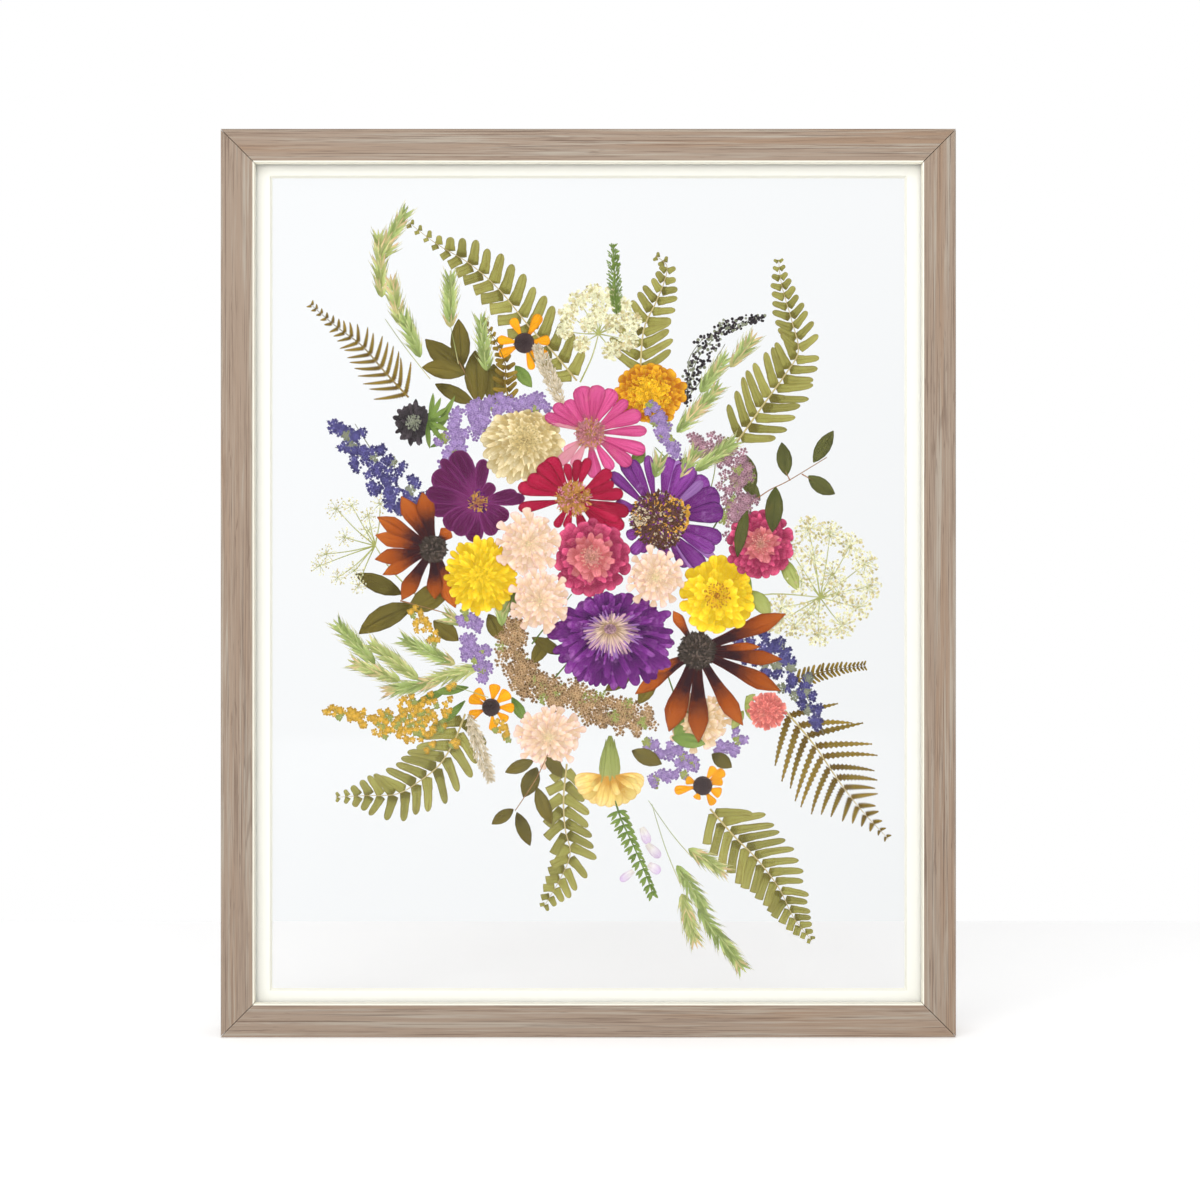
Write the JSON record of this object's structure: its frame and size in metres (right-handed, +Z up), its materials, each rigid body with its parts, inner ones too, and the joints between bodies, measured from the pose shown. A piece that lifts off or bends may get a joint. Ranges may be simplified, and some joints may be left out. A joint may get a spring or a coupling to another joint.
{
  "type": "pressed flower frame",
  "caption": "Weathered wood frame standing upright, with pressed flowers, ferns and grasses held between clear glass panes behind a white bevelled mat.",
  "frame": {"origin": "middle of the frame's foot, halfway through its depth", "axes": "+Z up along the upright rails, +X to the right seen from the front, the front of the frame looks along -Y"},
  "size_m": [0.4346, 0.032, 0.5369],
  "materials": {
    "weathered_wood": "weathered grey-brown, brushed grain",
    "raw_pine": "plain, unfinished",
    "clear_glass": "clear float glass, polished",
    "mat_white": "matt off-white board",
    "fern": "dry and matt, as pressed plant matter is",
    "bracken": "dry and matt, as pressed plant matter is",
    "olive": "dry and matt, as pressed plant matter is",
    "oat": "dry and matt, as pressed plant matter is",
    "lace": "dry and matt, as pressed plant matter is",
    "indigo": "dry and matt, as pressed plant matter is",
    "soot": "dry and matt, as pressed plant matter is",
    "golden": "dry and matt, as pressed plant matter is",
    "lilac": "dry and matt, as pressed plant matter is",
    "tan": "dry and matt, as pressed plant matter is",
    "mauve": "dry and matt, as pressed plant matter is",
    "marigold": "dry and matt, as pressed plant matter is",
    "violet": "dry and matt, as pressed plant matter is",
    "orange": "dry and matt, as pressed plant matter is",
    "peach": "dry and matt, as pressed plant matter is",
    "russet": "dry and matt, as pressed plant matter is",
    "plum": "dry and matt, as pressed plant matter is",
    "cream": "dry and matt, as pressed plant matter is",
    "pink": "dry and matt, as pressed plant matter is",
    "yellow": "dry and matt, as pressed plant matter is",
    "crimson": "dry and matt, as pressed plant matter is",
    "rose": "dry and matt, as pressed plant matter is",
    "blush": "dry and matt, as pressed plant matter is",
    "coral": "dry and matt, as pressed plant matter is",
    "butter": "dry and matt, as pressed plant matter is"
  },
  "bodies": {
    "root": {"frame_rail_top": "weathered_wood", "frame_rail_bottom": "weathered_wood", "frame_rail_left": "weathered_wood", "frame_rail_right": "weathered_wood", "front_glass": "clear_glass", "mat_board": "mat_white", "spacer_ring": "mat_white", "back_glass": "clear_glass", "stop_top": "raw_pine", "stop_bottom": "raw_pine", "stop_left": "raw_pine", "stop_right": "raw_pine", "sword_fern": "fern", "fern_top": "fern", "fern_right": "fern", "fern_bottom_left": "fern", "fern_bottom_mid": "fern", "fern_bottom_right": "fern", "bracken_left": "bracken", "bracken_right": "bracken", "leaf_sprig": "olive", "olive_leaves": "olive", "twig_right": "olive", "dark_spike": "soot", "lace_top": "lace", "lace_left": "lace", "lace_right": "lace", "delphinium_left": "indigo", "delphinium_right": "indigo", "goldenrod_left": "golden", "oat_grass_top_left": "oat", "oat_grass_left": "oat", "oat_grass_bottom": "oat", "statice_top": "lilac", "tan_sedum": "tan", "mauve_sedum": "mauve", "black_scabiosa": "soot", "orange_marigold": "marigold", "ring_zinnia": "violet", "susan_left": "orange", "peach_daisy": "peach", "rudbeckia_right": "russet", "violet_aster": "violet", "rudbeckia_left": "russet", "plum_flower": "plum", "cream_zinnia": "cream", "hot_pink_zinnia": "pink", "yellow_bloom_left": "yellow", "crimson_zinnia": "crimson", "yellow_bloom_right": "yellow", "rose_zinnia_right": "rose", "rose_zinnia_centre": "rose", "blush_daisy_upper": "blush", "blush_daisy_middle": "blush", "blush_daisy_right": "blush", "blush_daisy_lower": "blush", "susan_top": "orange", "susan_bottom": "orange", "coral_amaranth": "coral", "pale_marigold": "butter"}
  },
  "joints": []
}
